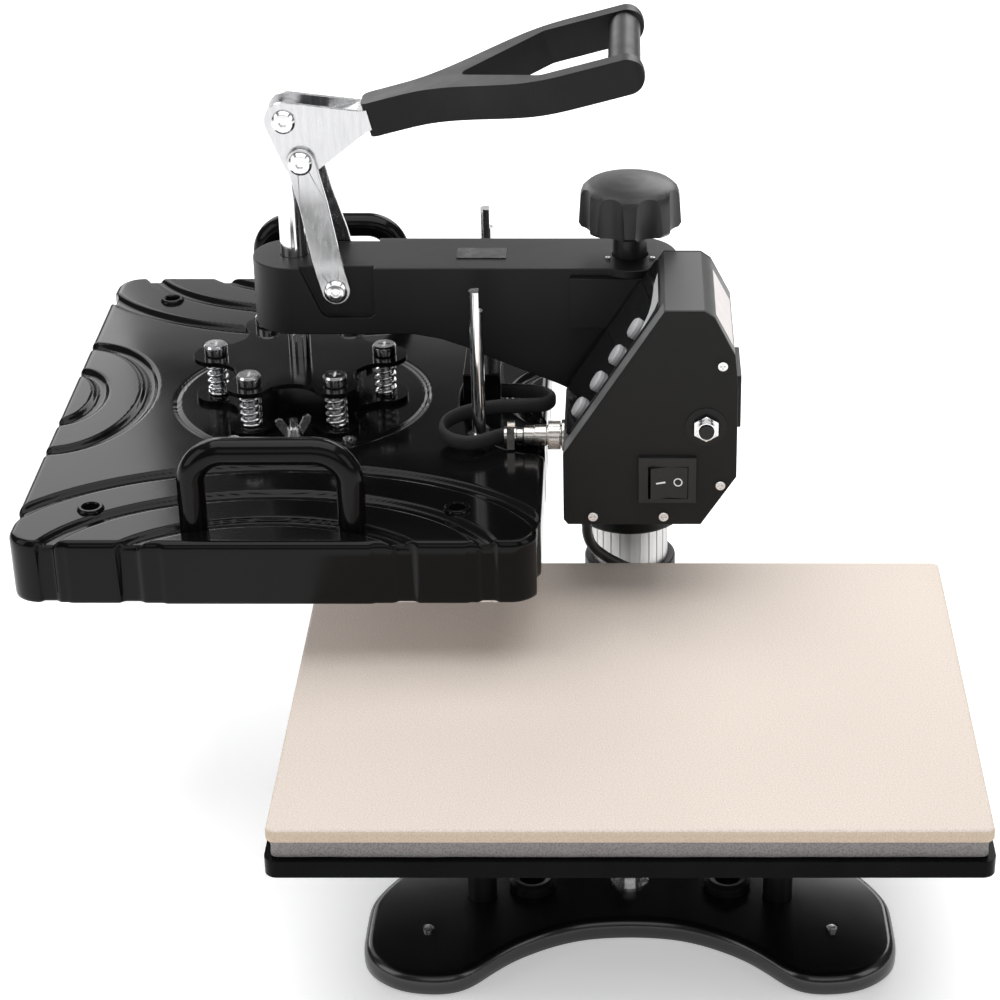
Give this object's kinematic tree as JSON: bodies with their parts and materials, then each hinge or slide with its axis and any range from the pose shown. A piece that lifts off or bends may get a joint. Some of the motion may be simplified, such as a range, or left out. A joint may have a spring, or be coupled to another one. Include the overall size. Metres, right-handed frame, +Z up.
{
  "type": "heat press",
  "caption": "Swing-away heat press: padded lower platen on a low base, and a heated upper platen on a swinging arm with a toggle lever, pressure knob and control box.",
  "frame": {"origin": "on the table, on the vertical axis of the post that the head swings about", "axes": "+Z up; the lower platen lies towards -Y of the post, and the head is stored swung a quarter turn so that it points along -X"},
  "size_m": [0.5425, 0.5525, 0.4563],
  "materials": {
    "black_gloss_paint": "gloss",
    "black_satin_paint": "satin",
    "grey_box_paint": "satin",
    "black_box_paint": "matte",
    "post_aluminium": "brushed",
    "plate_aluminium": "satin",
    "steel": "satin",
    "bearing_brass": "satin",
    "bright_chrome": "polished",
    "zinc_steel": "bright",
    "black_rubber": "matte",
    "cord_pvc": "satin",
    "braid": "woven",
    "grey_foam": "matte",
    "cream_silicone": "matte",
    "ceramic_wool": "matte",
    "overlay_film": "gloss",
    "black_plastic": "satin",
    "grey_button": "satin",
    "nickel": "satin"
  },
  "bodies": {
    "base": {"base_shell": "black_gloss_paint", "rubber_feet": "black_rubber", "base_screws": "zinc_steel", "post_socket": "black_satin_paint", "post_tube": "post_aluminium", "post_spindle": "steel", "platen_supports": "black_satin_paint", "support_bolts": "zinc_steel", "lower_platen": "black_satin_paint", "foam_pad": "grey_foam", "top_pad": "cream_silicone"},
    "swivel": {"thrust_bearing": "bearing_brass", "mains_cord": "cord_pvc", "cord_coil": "cord_pvc", "mains_plug": "cord_pvc"},
    "arm": {"arm_casting": "black_satin_paint", "box_shell": "grey_box_paint", "box_front_plate": "black_box_paint", "box_rear_plate": "black_box_paint", "box_bracket": "black_satin_paint", "display_overlay": "overlay_film", "access_plate": "black_plastic", "panel_screws": "zinc_steel", "switch_bezel": "black_plastic", "breaker_bush": "nickel", "output_socket": "nickel", "lead_plug": "nickel", "platen_lead": "braid", "strain_relief": "black_rubber"},
    "knob": {"pressure_knob": "black_plastic", "pressure_screw": "steel"},
    "mode_button": {"mode_button": "grey_button"},
    "up_button": {"up_button": "grey_button"},
    "down_button": {"down_button": "grey_button"},
    "timer_button": {"timer_button": "grey_button"},
    "rocker": {"power_rocker": "black_plastic"},
    "breaker": {"breaker_button": "black_plastic"},
    "plug_ring": {"plug_ring": "nickel"},
    "platen": {"platen_cover": "black_gloss_paint", "heater_plate": "plate_aluminium", "heating_element": "steel", "insulation_pad": "ceramic_wool", "front_bail": "black_gloss_paint", "rear_bail": "black_gloss_paint", "guide_rods": "bright_chrome", "lower_spider": "black_gloss_paint", "spring_bolts": "bright_chrome", "springs": "bright_chrome", "terminal_cover": "black_satin_paint", "cover_screws": "zinc_steel"},
    "wing_nut": {"wing_nut": "zinc_steel"},
    "rod": {"press_rod": "bright_chrome", "upper_spider": "black_gloss_paint"},
    "lever": {"lever_bracket": "bright_chrome", "lever_pins": "bright_chrome", "handle_grip": "black_plastic"},
    "link": {"link_plates": "steel", "link_bolts": "bright_chrome"}
  },
  "joints": [
    {"name": "arm_swing", "type": "hinge", "parent": "base", "child": "swivel", "pos_m": [0, 0, 0.28], "axis": [0, 0, 1], "range_deg": [0, 90]},
    {"name": "knob_turn", "type": "hinge", "parent": "swivel", "child": "knob", "pos_m": [0, 0, 0.34], "axis": [0, 0, 1], "range_deg": [-721, 721]},
    {"name": "arm_lift", "type": "slide", "parent": "swivel", "child": "arm", "axis": [0, 0, 1], "range_m": [-0.008, 0.008]},
    {"name": "press_slide", "type": "slide", "parent": "arm", "child": "platen", "axis": [0, 0, -1], "range_m": [0, 0.0405]},
    {"name": "spring_compress", "type": "slide", "parent": "platen", "child": "rod", "axis": [0, 0, -1], "range_m": [0, 0.006], "stiffness_N_per_m": 8000, "springref_m": -0.006, "deforming": ["springs"]},
    {"name": "lever_turn", "type": "hinge", "parent": "rod", "child": "lever", "pos_m": [-0.204, 0, 0.4045], "axis": [0, -1, 0], "range_deg": [0, 112.4]},
    {"name": "link_turn", "type": "hinge", "parent": "lever", "child": "link", "pos_m": [-0.195, 0, 0.38], "axis": [0, -1, 0], "range_deg": [-122, 0]},
    {"name": "wing_nut_turn", "type": "hinge", "parent": "platen", "child": "wing_nut", "pos_m": [-0.203, -0.058, 0.2273], "axis": [0, 0, 1], "continuous": true},
    {"name": "timer_button_press", "type": "slide", "parent": "arm", "child": "timer_button", "axis": [0.8383, 0, -0.5452], "range_m": [0, 0.0012], "stiffness_N_per_m": 400, "springref_m": -0.0006},
    {"name": "down_button_press", "type": "slide", "parent": "arm", "child": "down_button", "axis": [0.8383, 0, -0.5452], "range_m": [0, 0.0012], "stiffness_N_per_m": 400, "springref_m": -0.0006},
    {"name": "up_button_press", "type": "slide", "parent": "arm", "child": "up_button", "axis": [0.8383, 0, -0.5452], "range_m": [0, 0.0012], "stiffness_N_per_m": 400, "springref_m": -0.0006},
    {"name": "mode_button_press", "type": "slide", "parent": "arm", "child": "mode_button", "axis": [0.8383, 0, -0.5452], "range_m": [0, 0.0012], "stiffness_N_per_m": 400, "springref_m": -0.0006},
    {"name": "rocker_tilt", "type": "hinge", "parent": "arm", "child": "rocker", "pos_m": [0.0222, -0.1205, 0.2235], "axis": [0, 0, -1], "range_deg": [0, 12]},
    {"name": "breaker_pop", "type": "slide", "parent": "arm", "child": "breaker", "axis": [0, -1, 0], "range_m": [0, 0.003]},
    {"name": "plug_ring_turn", "type": "hinge", "parent": "arm", "child": "plug_ring", "pos_m": [-0.045, -0.071, 0.2287], "axis": [1, 0, 0], "continuous": true}
  ],
  "couplings": [
    {"joint": "knob_turn", "follows": "arm_lift", "rad_per_m": 1570.8},
    {"joint": "press_slide", "follows": "lever_turn", "m_per_rad": 0.02064},
    {"joint": "link_turn", "follows": "lever_turn", "ratio": -1.08}
  ]
}
